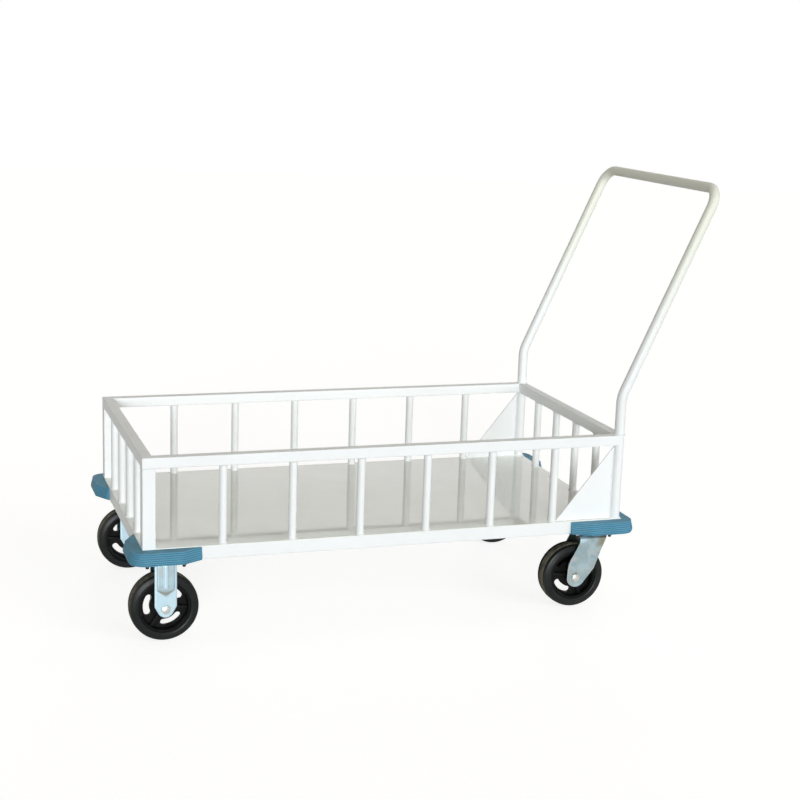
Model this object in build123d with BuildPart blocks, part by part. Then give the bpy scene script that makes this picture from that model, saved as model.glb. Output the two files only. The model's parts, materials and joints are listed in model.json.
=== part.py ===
from build123d import *
import math
import os

# Platform trolley with a low railed tray, four casters and a push handle.
# Millimetres. +X is forwards (the fixed casters), +Y is the trolley's left, +Z is up.
# The origin lies on the floor, under the middle of the trolley's outline.

# Platform
frame_length = 1180
frame_width = 645
base_tube = 30
deck_thickness = 2
deck_edge = 0.6            # broken edge round the deck sheet
tube_corner = 2            # outside radius along a square tube
bearer_count = 2

# Railing
rail_tube = 25
post_tube = 30             # the two front posts
rail_height = 210          # deck to the top of the rail
weld_gap = 0.2             # between a tube and the round leg that it is welded to
spindle_diameter = 19
side_spindles = 6
spindle_front_gap = 172    # front post to the first spindle, centre to centre
spindle_rear_gap = 168     # last spindle to the handle's leg, centre to centre
end_spindles = 4
gusset_foot = 145
gusset_drop = 4            # top of the gusset below the rail
gusset_thickness = 3

# Handle
handle_diameter = 25
handle_bend_height = 94    # rail top to the bend, along the leg
handle_bend_radius = 80
handle_lean = 226          # cross bar behind the legs
handle_rise = 503          # cross bar above the bend
handle_corner_radius = 48

# Corner bumpers
bumper_reach = 30
bumper_side_leg = 134      # frame corner to the bumper's end, along the side
bumper_side_flat = 90      # frame corner to where that end slopes back
bumper_end_leg = 124       # the same two along the front or rear
bumper_end_flat = 82
bumper_tip = 6             # thickness left where a leg ends
bumper_corner_radius = 36

# Casters
wheel_diameter = 160
tyre_width = 50
tyre_wall = 21
tyre_shoulder = 7
mount_height = 197         # floor to the top of a caster's plate
caster_inset_x = 57        # frame end to a caster's centre or pivot
caster_inset_y = 58        # frame side to a caster's centre
plate_length = 108
plate_width = 88
plate_thickness = 4
plate_corner = 8
pad_length = 118
pad_width = 116
pad_thickness = 5
pad_cut = 30               # cut corner of the pad, inside the frame
fork_gap = 60
cheek_thickness = 4
cheek_width = 51
cheek_shoulder = 6         # above the axle, where the cheek starts to narrow
cheek_foot_drop = 1.5      # centre of the rounded foot below the axle
cheek_foot_radius = 18.5
panel_margin = 5           # pressed panel inside the cheek's edges
panel_bottom = 30          # pressed panel above the axle
panel_point = 18           # point of the panel's lower end
panel_depth = 2.5
panel_taper = 40           # degrees, slope of the pressing's sides
bead_width = 9
bead_depth = 2.5
fork_offset = 45           # pivot to the wheel's axle
fork_head_width = 70
fork_foot_radius = 23.5
fork_knee_radius = 12      # rounding where the cheek's edges change direction
front_knee_reach = 6.5     # centre of that rounding ahead of the axle, front edge
front_knee_height = 32     # and above it
rear_knee_reach = 37.5     # behind the axle, rear edge
rear_knee_height = 24.5
race_diameter = 66
race_height = 9
kingpin_diameter = 12
kingpin_nut = 19
kingpin_nut_height = 7
running_gap = 0.3          # between a shaft and what turns on it
bolt_gap = 0.2             # between a bolt and its hole
side_gap = 1               # between a turning piece and the face beside it

# Axles and hubs
axle_diameter = 12
axle_hex = 19
axle_head = 7
hub_boss_radius = 18
hub_web = 10
hub_rim = 5
hub_rim_width = 42
window_count = 3
window_inner = 33
window_outer = 48
window_sweep = 52          # degrees
rib_width = 7
rib_depth = 11             # rib proud of the web
wheel_phase = {"front_left": 5, "front_right": 63, "rear_left": 66, "rear_right": 30}

# Heights
wheel_radius = wheel_diameter / 2
plate_bottom = mount_height - plate_thickness
base_bottom = mount_height + pad_thickness
deck_bottom = base_bottom + base_tube
deck_top = deck_bottom + deck_thickness
rail_top = deck_top + rail_height
rail_bottom = rail_top - rail_tube
bend_height = rail_top + handle_bend_height
bar_height = bend_height + handle_rise

# Places along X and Y
leg_inset = rail_tube / 2
overall_length = bumper_reach + frame_length - leg_inset + handle_lean + handle_diameter / 2
front_x = overall_length / 2 - bumper_reach
rear_x = front_x - frame_length
leg_x = rear_x + leg_inset
side_y = frame_width / 2
leg_y = side_y - rail_tube / 2
wheel_y = side_y - caster_inset_y
front_axle_x = front_x - caster_inset_x
pivot_x = rear_x + caster_inset_x
rear_axle_x = pivot_x + fork_offset
hub_radius = wheel_radius - tyre_wall
crown_top = plate_bottom - race_height
crown_bottom = crown_top - cheek_thickness

sides = {"left": 1, "right": -1}
ends = {"front": 1, "rear": -1}
end_x = {"front": front_x, "rear": rear_x}


def save(piece, name):
    piece.part.label = name
    export_step(piece.part, f"parts/{name}.step")


def mitre(x, y, turn):
    """An upright cutting plane through (x, y). The kept side is the one that turn faces."""
    return Plane(origin=(x, y, 0), z_dir=Vector(1, 0, 0).rotate(Axis.Z, turn))


def square_tube(start, size, length, mitres=()):
    """A square tube along a plane's normal, cut at its mitres."""
    with BuildPart() as piece:
        with BuildSketch(start):
            RectangleRounded(size, size, tube_corner)
        extrude(amount=length)
        for cut in mitres:
            split(bisect_by=cut, keep=Keep.TOP)
    return piece


def tube_frame(size, bottom):
    """A mitred rectangle of square tube round the whole platform: two sides, a front and a rear."""
    middle = bottom + size / 2
    for side, sign in sides.items():
        start = Plane(origin=(rear_x, sign * (side_y - size / 2), middle), z_dir=(1, 0, 0))
        mitres = (mitre(front_x, sign * side_y, sign * 135), mitre(rear_x, sign * side_y, sign * 45))
        yield side, square_tube(start, size, frame_length, mitres)
    for end, forward in ends.items():
        x = end_x[end]
        turn = 90 - forward * 45
        start = Plane(origin=(x - forward * size / 2, -side_y, middle), z_dir=(0, 1, 0))
        mitres = (mitre(x, side_y, -turn), mitre(x, -side_y, turn))
        yield end, square_tube(start, size, frame_width, mitres)


def make_base():
    """The base frame of square tube, its bearers and the deck sheet on top."""
    for place, piece in tube_frame(base_tube, base_bottom):
        save(piece, f"base_rail_{place}")
    inner_y = side_y - base_tube
    spacing = frame_length / (bearer_count + 1)
    for number in range(1, bearer_count + 1):
        foot = (front_x - number * spacing, -inner_y, base_bottom + base_tube / 2)
        piece = square_tube(Plane(origin=foot, z_dir=(0, 1, 0)), base_tube, 2 * inner_y)
        save(piece, f"deck_bearer_{number}")
    with BuildPart() as piece:
        with BuildSketch(Plane.XY.offset(deck_bottom)):
            with Locations(((front_x + rear_x) / 2, 0)):
                Rectangle(frame_length, frame_width)
        extrude(amount=deck_thickness)
        chamfer(piece.faces().sort_by(Axis.Z)[-1].edges(), deck_edge)
    save(piece, "deck_sheet")


def make_top_rails():
    """The top rails: mitred at the front, and at the rear coped round the handle's legs."""
    cope = handle_diameter / 2 + weld_gap
    corner = rail_tube / 2
    for place, rail in tube_frame(rail_tube, rail_bottom):
        with BuildPart() as piece:
            add(rail.part)
            for sign in sides.values():
                with BuildSketch(Plane.XY.offset(rail_bottom)):
                    with Locations((leg_x, sign * leg_y)):
                        Circle(cope)
                    with Locations((leg_x - corner / 2, sign * (leg_y + corner / 2))):
                        Rectangle(corner, corner)
                extrude(amount=rail_tube, mode=Mode.SUBTRACT)
        save(piece, f"top_rail_{place}")


def make_posts():
    """The square posts at the two front corners."""
    for side, sign in sides.items():
        foot = (front_x - post_tube / 2, sign * (side_y - post_tube / 2), deck_top)
        piece = square_tube(Plane(origin=foot, z_dir=(0, 0, 1)), post_tube, rail_bottom - deck_top)
        save(piece, f"front_post_{side}")


def spindle_set(name, places):
    """Round spindles from the deck to the underside of the rail."""
    with BuildPart() as piece:
        with BuildSketch(Plane.XY.offset(deck_top)):
            with Locations(*places):
                Circle(spindle_diameter / 2)
        extrude(amount=rail_bottom - deck_top)
    save(piece, name)


def make_spindles():
    first = front_x - rail_tube / 2 - spindle_front_gap
    last = leg_x + spindle_rear_gap
    pitch = (first - last) / (side_spindles - 1)
    for side, sign in sides.items():
        spindle_set(f"spindles_{side}", [(first - n * pitch, sign * leg_y) for n in range(side_spindles)])
    end_pitch = 2 * leg_y / (end_spindles + 1)
    for end, x in (("front", front_x - rail_tube / 2), ("rear", leg_x)):
        spindle_set(f"spindles_{end}", [(x, leg_y - (n + 1) * end_pitch) for n in range(end_spindles)])


def make_gussets():
    """The triangular plates between the handle's legs and the deck."""
    leg_front = leg_x + handle_diameter / 2 + weld_gap
    for side, sign in sides.items():
        with BuildPart() as piece:
            with BuildSketch(Plane.XZ.offset(-sign * leg_y)):
                with BuildLine():
                    Polyline(
                        (leg_front, deck_top),
                        (leg_front + gusset_foot, deck_top),
                        (leg_front, rail_bottom - gusset_drop),
                        close=True,
                    )
                make_face()
            extrude(amount=gusset_thickness / 2, both=True)
        save(piece, f"gusset_{side}")


def make_handle():
    """One bent tube: two legs that also serve as rear posts, leaning back to the cross bar."""
    bar_x = leg_x - handle_lean
    corners = [
        (leg_x, leg_y, deck_top),
        (leg_x, leg_y, bend_height),
        (bar_x, leg_y, bar_height),
        (bar_x, -leg_y, bar_height),
        (leg_x, -leg_y, bend_height),
        (leg_x, -leg_y, deck_top),
    ]
    radii = [handle_bend_radius, handle_corner_radius, handle_corner_radius, handle_bend_radius]
    with BuildPart() as piece:
        with BuildLine() as path:
            FilletPolyline(*corners, radius=radii)
        with BuildSketch(Plane.XY.offset(deck_top)):
            with Locations((leg_x, leg_y)):
                Circle(handle_diameter / 2)
        sweep(path=path.wires()[0])
    save(piece, "handle")


def make_bumpers():
    """The rubber corner bumpers, L-shaped in plan, with ends that slope back to the frame."""
    for end, forward in ends.items():
        for side, sign in sides.items():
            x = end_x[end]
            y = sign * side_y

            def at(out_x, out_y):
                return (x + forward * out_x, y + sign * out_y)

            with BuildPart() as piece:
                with BuildSketch(Plane.XY.offset(base_bottom)) as plan:
                    with BuildLine():
                        Polyline(
                            at(0, 0),
                            at(0, -bumper_end_leg),
                            at(bumper_tip, -bumper_end_leg),
                            at(bumper_reach, -bumper_end_flat),
                            at(bumper_reach, bumper_reach),
                            at(-bumper_side_flat, bumper_reach),
                            at(-bumper_side_leg, bumper_tip),
                            at(-bumper_side_leg, 0),
                            close=True,
                        )
                    make_face()
                    corner = plan.vertices().sort_by(lambda v: forward * v.X + sign * v.Y)[-1]
                    fillet(corner, bumper_corner_radius)
                extrude(amount=base_tube)
            save(piece, f"bumper_{end}_{side}")


def make_pads():
    """The corner plates under the frame that carry the casters."""
    for end, forward in ends.items():
        for side, sign in sides.items():
            x = end_x[end]
            y = sign * side_y
            in_x, in_y = x - forward * pad_length, y - sign * pad_width
            with BuildPart() as piece:
                with BuildSketch(Plane.XY.offset(mount_height)):
                    with BuildLine():
                        Polyline(
                            (x, y),
                            (in_x, y),
                            (in_x, in_y + sign * pad_cut),
                            (in_x + forward * pad_cut, in_y),
                            (x, in_y),
                            close=True,
                        )
                    make_face()
                extrude(amount=pad_thickness)
            save(piece, f"caster_pad_{end}_{side}")


def make_fixed_casters():
    """The fixed brackets at the front: a plate with two straight cheeks, and the axle."""
    for side, sign in sides.items():
        y = sign * wheel_y
        straight = plate_bottom - wheel_radius - cheek_shoulder
        with BuildPart() as piece:
            with BuildSketch(Plane.XY.offset(plate_bottom)):
                with Locations((front_axle_x, y)):
                    RectangleRounded(plate_length, plate_width, plate_corner)
            extrude(amount=plate_thickness)
            for face in (1, -1):
                inner = y + face * fork_gap / 2
                with BuildSketch(Plane.XZ.offset(-inner)):
                    with Locations((front_axle_x, wheel_radius - cheek_foot_drop)):
                        Circle(cheek_foot_radius)
                    with Locations((front_axle_x, plate_bottom - straight / 2)):
                        Rectangle(cheek_width, straight)
                    make_hull()
                    with Locations((front_axle_x, wheel_radius)):
                        Circle(axle_diameter / 2 + bolt_gap, mode=Mode.SUBTRACT)
                extrude(amount=-face * cheek_thickness)
                outer = inner + face * cheek_thickness
                panel_half = cheek_width / 2 - panel_margin
                with BuildSketch(Plane.XZ.offset(-outer)):
                    with BuildLine():
                        Polyline(
                            (front_axle_x - panel_half, plate_bottom),
                            (front_axle_x - panel_half, wheel_radius + panel_bottom + panel_point),
                            (front_axle_x, wheel_radius + panel_bottom),
                            (front_axle_x + panel_half, wheel_radius + panel_bottom + panel_point),
                            (front_axle_x + panel_half, plate_bottom),
                            close=True,
                        )
                    make_face()
                extrude(amount=-face * panel_depth, taper=panel_taper)
                bead_bottom = wheel_radius + panel_bottom + panel_point
                with BuildSketch(Plane.XY.offset(bead_bottom)):
                    with Locations((front_axle_x, outer + face * panel_depth)):
                        Ellipse(bead_width / 2, bead_depth)
                extrude(amount=plate_bottom - bead_bottom)
        save(piece, f"fixed_bracket_{side}")
        make_axle(f"axle_front_{side}", front_axle_x, y)


def make_axle(name, x, y):
    """A bolt through both cheeks, with a hexagon head and nut outside them."""
    cheek_face = fork_gap / 2 + cheek_thickness
    with BuildPart() as piece:
        with BuildSketch(Plane.XZ.offset(-y)):
            with Locations((x, wheel_radius)):
                Circle(axle_diameter / 2)
        extrude(amount=cheek_face, both=True)
        for face in (1, -1):
            with BuildSketch(Plane.XZ.offset(-y - face * cheek_face)):
                with Locations((x, wheel_radius)):
                    RegularPolygon(axle_hex / 2, 6, major_radius=False)
            extrude(amount=-face * axle_head)
    save(piece, name)


def make_swivel_casters():
    """The swivel casters at the rear: plate with race and kingpin, raked fork and axle."""
    for side, sign in sides.items():
        y = sign * wheel_y
        with BuildPart() as piece:
            with BuildSketch(Plane.XY.offset(plate_bottom)):
                with Locations((pivot_x, y)):
                    RectangleRounded(plate_length, plate_width, plate_corner)
            extrude(amount=plate_thickness)
            with BuildSketch(Plane.XY.offset(crown_top + side_gap)):
                with Locations((pivot_x, y)):
                    Circle(race_diameter / 2)
            extrude(amount=race_height - side_gap)
            with BuildSketch(Plane.XY.offset(crown_bottom - side_gap)):
                with Locations((pivot_x, y)):
                    Circle(kingpin_diameter / 2)
            extrude(amount=plate_bottom - crown_bottom + side_gap)
            with BuildSketch(Plane.XY.offset(crown_bottom - side_gap)):
                with Locations((pivot_x, y)):
                    RegularPolygon(kingpin_nut / 2, 6, major_radius=False)
            extrude(amount=-kingpin_nut_height)
        save(piece, f"swivel_plate_{side}")
        make_fork(side, y)
        make_axle(f"axle_rear_{side}", rear_axle_x, y)


def make_fork(side, y):
    """The raked fork: a crown under the race and two cheeks down to the axle."""
    outer = fork_gap / 2 + cheek_thickness
    front_knee = (rear_axle_x + front_knee_reach, wheel_radius + front_knee_height)
    rear_knee = (rear_axle_x - rear_knee_reach, wheel_radius + rear_knee_height)
    with BuildPart() as piece:
        with BuildSketch(Plane.XY.offset(crown_bottom)):
            with Locations((pivot_x, y)):
                Rectangle(fork_head_width, 2 * outer)
                Circle(kingpin_diameter / 2 + running_gap, mode=Mode.SUBTRACT)
        extrude(amount=cheek_thickness)
        for face in (1, -1):
            inner = y + face * fork_gap / 2
            with BuildSketch(Plane.XZ.offset(-inner)):
                with Locations((rear_axle_x, wheel_radius)):
                    Circle(fork_foot_radius)
                with Locations(front_knee, rear_knee):
                    Circle(fork_knee_radius)
                with Locations((pivot_x, crown_bottom)):
                    Rectangle(fork_head_width, cheek_thickness * 2)
                make_hull()
                with Locations((rear_axle_x, wheel_radius)):
                    Circle(axle_diameter / 2 + bolt_gap, mode=Mode.SUBTRACT)
            extrude(amount=-face * cheek_thickness)
    save(piece, f"swivel_fork_{side}")


def make_wheel(place, x, y):
    """A wheel: rubber tyre on a moulded hub with three windows and radial ribs."""
    centre = Plane(origin=(x, y, wheel_radius), x_dir=(1, 0, 0), z_dir=(0, -1, 0))
    profile = Plane(origin=(x, y, wheel_radius), x_dir=(0, 1, 0), z_dir=(1, 0, 0))
    phase = wheel_phase[place]
    with BuildPart() as tyre:
        with BuildSketch(profile) as section:
            with Locations((0, (hub_radius + wheel_radius) / 2)):
                Rectangle(tyre_width, tyre_wall)
            fillet(section.vertices().group_by(Axis.Z)[-1], tyre_shoulder)
        revolve(axis=Axis((x, y, wheel_radius), (0, 1, 0)))
    save(tyre, f"tyre_{place}")

    boss_length = fork_gap - 2 * side_gap
    middle = (window_inner + window_outer) / 2
    with BuildPart() as hub:
        with BuildSketch(centre):
            Circle(hub_radius)
        extrude(amount=hub_web / 2, both=True)
        with BuildSketch(centre):
            Circle(hub_radius)
            Circle(hub_radius - hub_rim, mode=Mode.SUBTRACT)
        extrude(amount=hub_rim_width / 2, both=True)
        with BuildSketch(centre):
            Circle(hub_boss_radius)
        extrude(amount=boss_length / 2, both=True)
        with BuildSketch(centre):
            with PolarLocations(0, window_count, start_angle=phase + 180 / window_count):
                with Locations((middle, 0)):
                    Rectangle(2 * (hub_radius - hub_rim / 2 - middle), rib_width)
                with Locations(((hub_boss_radius + middle) / 2, 0)):
                    Rectangle(middle - hub_boss_radius + rib_width, rib_width)
        extrude(amount=hub_web / 2 + rib_depth, both=True)
        with BuildSketch(centre):
            with PolarLocations(0, window_count, start_angle=phase):
                SlotArc(
                    CenterArc((0, 0), middle, -window_sweep / 2, window_sweep),
                    height=window_outer - window_inner,
                )
        extrude(amount=hub_web, both=True, mode=Mode.SUBTRACT)
        with BuildSketch(centre):
            Circle(axle_diameter / 2 + running_gap)
        extrude(amount=boss_length, both=True, mode=Mode.SUBTRACT)
    save(hub, f"hub_{place}")


os.makedirs("parts", exist_ok=True)
make_base()
make_top_rails()
make_posts()
make_spindles()
make_gussets()
make_handle()
make_bumpers()
make_pads()
make_fixed_casters()
make_swivel_casters()
for side, sign in sides.items():
    make_wheel(f"front_{side}", front_axle_x, sign * wheel_y)
    make_wheel(f"rear_{side}", rear_axle_x, sign * wheel_y)
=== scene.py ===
import json
import math

import bmesh
import bpy
from mathutils import Matrix, Vector


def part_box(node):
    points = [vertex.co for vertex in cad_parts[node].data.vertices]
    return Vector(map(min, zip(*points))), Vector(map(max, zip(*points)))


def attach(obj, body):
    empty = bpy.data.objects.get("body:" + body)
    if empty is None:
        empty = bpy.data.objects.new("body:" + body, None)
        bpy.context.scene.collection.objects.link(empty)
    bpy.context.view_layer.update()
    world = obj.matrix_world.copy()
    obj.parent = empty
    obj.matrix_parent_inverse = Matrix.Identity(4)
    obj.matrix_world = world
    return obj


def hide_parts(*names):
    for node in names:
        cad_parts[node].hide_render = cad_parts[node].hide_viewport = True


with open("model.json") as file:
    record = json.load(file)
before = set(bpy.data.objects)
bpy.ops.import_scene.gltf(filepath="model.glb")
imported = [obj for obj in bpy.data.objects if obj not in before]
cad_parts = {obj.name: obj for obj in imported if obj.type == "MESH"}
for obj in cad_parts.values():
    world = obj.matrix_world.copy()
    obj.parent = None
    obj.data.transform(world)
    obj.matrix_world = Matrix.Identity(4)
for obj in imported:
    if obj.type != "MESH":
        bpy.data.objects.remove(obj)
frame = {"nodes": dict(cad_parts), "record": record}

# Dressing for the platform trolley: metres, +X forwards, +Y to the trolley's left, +Z up.

for spare in ("Cube", "Light", "Camera"):
    if spare in bpy.data.objects:
        bpy.data.objects.remove(bpy.data.objects[spare])
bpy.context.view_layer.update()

MM = 0.001
SIDES = {"left": 1, "right": -1}
ENDS = {"front": 1, "rear": -1}
UP = Vector((0, 0, 1))
ACROSS = Vector((0, 1, 0))
CLEARANCE = 0.3 * MM  # round the axles and the kingpins

# Welds
WELD_LEG = 2.2 * MM
WELD_STEP = 1.6 * MM
RIPPLE = 0.12  # swell of the ripples, as a share of the weld
RING_RIPPLES = 17
RUN_RIPPLES = 1100  # radians of ripple for each metre
SPINDLES = {"left": 6, "right": 6, "front": 4, "rear": 4}
STITCH = 20 * MM  # length of one of the gussets' short welds
STITCH_COUNT = 4

# Corner bumpers
GROOVE_COUNT = 6
GROOVE_PITCH = 4.6 * MM
GROOVE_WIDTH = 1.8 * MM
GROOVE_DEPTH = 0.8 * MM
BUMPER_EDGE = 1.2 * MM  # rounding of the upper and lower edges
BUMPER_SLOPE = 4.5 * MM  # upper edge of the bumper's side behind its lower part
BUMPER_BELLY = 2 * MM
BUMPER_SIDE_LEG = 134 * MM  # frame corner to the bumper's end, along the side
BUMPER_SIDE_FLAT = 90 * MM  # frame corner to where that end slopes back
BUMPER_END_LEG = 124 * MM  # the same two along the front or rear
BUMPER_END_FLAT = 82 * MM
BUMPER_TIP = 6 * MM
BUMPER_ROUND = 36 * MM

# Caster plates and their fasteners
PLATE = (108 * MM, 88 * MM, 4 * MM)
PLATE_ROUND = 8 * MM
BOLT_SPREAD = (42 * MM, 32 * MM)
STUD_RADIUS = 4 * MM
STUD_END = 5.8 * MM  # past its nut
STUD_CHAMFER = (0.9 * MM, 0.8 * MM)
STUD_WASHER_HOLE = 4.2 * MM
STUD_WASHER_RADIUS = 8 * MM
STUD_WASHER = 1.5 * MM
NUT_FLATS = 13 * MM
NUT_HEIGHT = 6.5 * MM
WASHER_EDGE = 0.3 * MM
ROD_ROOT = 1 * MM  # a rod's end starts this far inside its nut

# Forks and brackets, pressed and bent from one sheet
SHEET = 4 * MM
FORK_GAP = 60 * MM
FORK_HALF = FORK_GAP / 2 + SHEET
BEND = 9 * MM  # outside radius of the bend at the top
FOOT_ROWS = 10  # rows of the mesh that follow the rounded foot
FOOT_RISE = 10 * MM
CHEEK_ROW = 2.2 * MM
BEND_ROWS = 8
CROWN_ROWS = 6

# Rigid front brackets
CHEEK_HALF = 25.5 * MM
FOOT_SHOULDER = 6 * MM  # above the axle, where the bracket starts to narrow
FOOT_DROP = 1.5 * MM  # centre of its rounded foot below the axle
FOOT_RADIUS = 18.5 * MM
EDGE_ROLL = 1.3 * MM
EDGE_ROLL_WIDTH = 2.6 * MM
PANEL_MARGIN = 4.5 * MM
PANEL_WALL = 3 * MM
PANEL_BOTTOM = 47 * MM  # pressed panel above the axle
PANEL_TIP = 28 * MM  # lowest point of the slope below the panel
PANEL_SLOPE = 4 * MM  # least height of that slope
PANEL_DEPTH = 3 * MM
BEAD_HALF = 6.2 * MM
BEAD_WALL = 3.6 * MM
BEAD_START = 4 * MM
BEAD_DEPTH = 2.2 * MM

# Raked rear forks and their races. The edges and the foot's centre are in mm from the axle.
FORK_FRONT_EDGE = (
    (-10, 103), (-8, 88), (1.7, 69.6), (8.4, 56.8), (14.7, 46.5), (19.5, 33.6), (21.6, 20.4),
)
FORK_REAR_EDGE = ((-80, 103), (-74, 88), (-65.5, 67.6), (-57.9, 46.7), (-53.2, 33.6), (-48.4, 20.6))
FORK_FOOT_OFF = (-1, -1)
FORK_FOOT = 23.6 * MM
RACE_RADIUS = 33 * MM
RACE_HEIGHT = 9 * MM
# The race and the cup under it: (in from the race's radius, along the pivot), in mm
RACE_STEPS = ((0, 0), (0, 2.2), (1.2, 3.4), (4, 4), (5.5, 5.6), (7, 6.8), (9, 8))
CUP_STEPS = ((1, 0), (2, 2.6), (3.2, 3.4), (4.4, 2.6), (5, 0))
KINGPIN_RADIUS = 6 * MM
NUT_GAP = 1 * MM  # fork to the kingpin's nut
KINGPIN_NUT = 6 * MM

# Axle bolts
AXLE_RADIUS = 6 * MM
AXLE_FLATS = 18 * MM
AXLE_END_RADIUS = 4.6 * MM
AXLE_END_CHAMFER = (0.6 * MM, 0.3 * MM)
AXLE_END = 0.9 * MM  # past its nut
WASHER_RADIUS = 9.2 * MM
WASHER = 1.0 * MM
HEAD = 5.5 * MM

# Wheels
TYRE_WALL = 21 * MM
TREAD_HALF = 11 * MM
TREAD_EDGE = 2 * MM
HUB_RIM = 5 * MM
HUB_RIM_HALF = 21 * MM
HUB_RIM_FILLET = 1.4 * MM
HUB_WEB_HALF = 5 * MM
HUB_WEB_STEP = (1.0 * MM, 0.9 * MM)  # width and height of the step round its openings
BOSS_RADIUS = 18 * MM
BOSS_HALF = 29 * MM
BOSS_SHOULDER = 19 * MM
BOSS_OVERLAP = 2 * MM
WINDOW_INNER = 33 * MM
WINDOW_OUTER = 48 * MM
WINDOW_SWEEP = 52  # degrees
WINDOW_COUNT = 3
RIB_HALF = 3.5 * MM
RIB_TOP = 16 * MM
RIB_FALL = 1.5 * MM
WHEEL_PHASE = {"front_left": 5, "front_right": 63, "rear_left": 66, "rear_right": 30}  # degrees

# Sockets of a Mix node that takes colours
MIX_UNDER, MIX_OVER, MIX_RESULT = 6, 7, 2


# -------- modelling

def as_mesh(name, shape):
    """Turns a finished shape into a mesh."""
    mesh = bpy.data.meshes.new(name)
    shape.to_mesh(mesh)
    shape.free()
    return mesh


def add_object(name, data):
    """Puts a mesh, a lamp or a camera into the scene."""
    made = bpy.data.objects.new(name, data)
    bpy.context.scene.collection.objects.link(made)
    return made


def hand_over(name, shape, material, stands_for=(), body="chassis", crease=32):
    """Makes a piece of a finished shape that rides on its body, with edges sharp over an angle."""
    bmesh.ops.recalc_face_normals(shape, faces=shape.faces)
    mesh = as_mesh(name, shape)
    mesh.shade_smooth()
    mesh.set_sharp_from_angle(angle=math.radians(crease))
    mesh.materials.append(material)
    piece = add_object(name, mesh)
    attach(piece, body)
    if stands_for:
        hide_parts(*stands_for)


def middle(name):
    """The middle of a node's box."""
    low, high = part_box(name)
    return (low + high) / 2


def ease(value):
    """Turns a share into one that starts and ends softly, and holds it between 0 and 1."""
    value = min(max(value, 0.0), 1.0)
    return value * value * (3 - 2 * value)


def soften(shape, size, crease):
    """Rounds the edges of a closed shape that are sharper than an angle in degrees."""
    limit = math.radians(crease)
    chosen = [
        edge for edge in shape.edges
        if len(edge.link_faces) == 2 and edge.calc_face_angle() > limit
    ]
    bmesh.ops.bevel(
        shape, geom=chosen, offset=size, affect="EDGES", segments=2,
        profile=0.5, material=-1, clamp_overlap=True,
    )


def merge_in(shape, part):
    """Adds a finished part to a bigger shape."""
    mesh = as_mesh("part", part)
    shape.from_mesh(mesh)
    bpy.data.meshes.remove(mesh)


def closed_line(shape, points):
    """A closed line of edges through points."""
    verts = [shape.verts.new(point) for point in points]
    return verts, [shape.edges.new(pair) for pair in zip(verts, verts[1:] + verts[:1])]


def draw_on(shape, verts, ring):
    """Extrudes a ring of edges. The new vertices come in the order of the old ones."""
    drawn = bmesh.ops.extrude_edge_only(shape, edges=ring)["geom"]
    fresh = {item for item in drawn if isinstance(item, bmesh.types.BMVert)}
    ring = [
        item for item in drawn
        if isinstance(item, bmesh.types.BMEdge) and fresh.issuperset(item.verts)
    ]
    beside = ([edge.other_vert(vert) for edge in vert.link_edges] for vert in verts)
    return [next(vert for vert in near if vert in fresh) for near in beside], ring


def turned(profile, centre, axis, steps=64):
    """A ring turned about an axis from a closed profile of (radius, distance along the axis)."""
    axis = Vector(axis).normalized()
    out = axis.orthogonal().normalized()
    ring = bmesh.new()
    points = [centre + out * radius + axis * along for radius, along in profile]
    verts, edges = closed_line(ring, points)
    bmesh.ops.spin(
        ring, geom=verts + edges, cent=centre, axis=axis, dvec=(0, 0, 0),
        angle=math.tau, steps=steps, use_merge=True, use_duplicate=False,
    )
    bmesh.ops.remove_doubles(ring, verts=ring.verts, dist=1e-6)
    bmesh.ops.dissolve_degenerate(ring, edges=ring.edges, dist=1e-7)
    bmesh.ops.recalc_face_normals(ring, faces=ring.faces)
    return ring


def mirrored(half):
    """A closed profile from its half on one side of the middle."""
    return half + [(out, -off) for out, off in reversed(half)]


def rod(radius, start, end, chamfer=None):
    """The profile of a rod, whose end may have a chamfer of (depth, length)."""
    corner = [(radius, end)]
    if chamfer:
        corner = [(radius, end - chamfer[1]), (radius - chamfer[0], end)]
    return [(0.0, start), (radius, start), *corner, (0.0, end)]


def washer(hole, radius, thickness):
    """The profile of a washer that lies at 0."""
    return [(hole, 0.0), (radius, 0.0), (radius, thickness - WASHER_EDGE),
            (radius - WASHER_EDGE, thickness), (hole, thickness)]


def prism(points, along, edge=0.0, round_size=0.0):
    """A flat outline, its upright corners rounded if asked, drawn out along a vector."""
    block = bmesh.new()
    face = block.faces.new([block.verts.new(point) for point in points])
    if round_size:
        bmesh.ops.bevel(
            block, geom=face.verts[:], offset=round_size, affect="VERTICES",
            segments=6, profile=0.5, material=-1, clamp_overlap=True,
        )
    drawn = bmesh.ops.extrude_face_region(block, geom=block.faces[:], use_keep_orig=True)
    moved = [item for item in drawn["geom"] if isinstance(item, bmesh.types.BMVert)]
    bmesh.ops.translate(block, verts=moved, vec=along)
    bmesh.ops.recalc_face_normals(block, faces=block.faces)
    if edge:
        soften(block, edge, crease=50)
    return block


def hexagon(centre, axis, flats, height, edge):
    """A hexagon head or nut: it stands on centre, and its outer corners are turned off."""
    axis = Vector(axis).normalized()
    out = axis.orthogonal().normalized()
    corners = [
        centre + Matrix.Rotation(math.radians(60 * n), 3, axis) @ out * flats / math.sqrt(3)
        for n in range(6)
    ]
    block = prism(corners, axis * height)
    top = [face for face in block.faces if face.normal.dot(axis) > 0.9]
    bmesh.ops.inset_region(block, faces=top, thickness=edge, depth=0, use_even_offset=True)
    raised = list({vert for face in top for vert in face.verts})
    bmesh.ops.translate(block, verts=raised, vec=axis * edge * 0.5)
    return block


def sheet_between(columns, rows, place):
    """A sheet of quads. place(across, along) gives each point, with both values from 0 to 1."""
    sheet = bmesh.new()
    bmesh.ops.create_grid(sheet, x_segments=columns, y_segments=rows, size=0.5)
    for vert in sheet.verts:
        vert.co = place(vert.co.x + 0.5, vert.co.y + 0.5)
    return sheet


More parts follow.
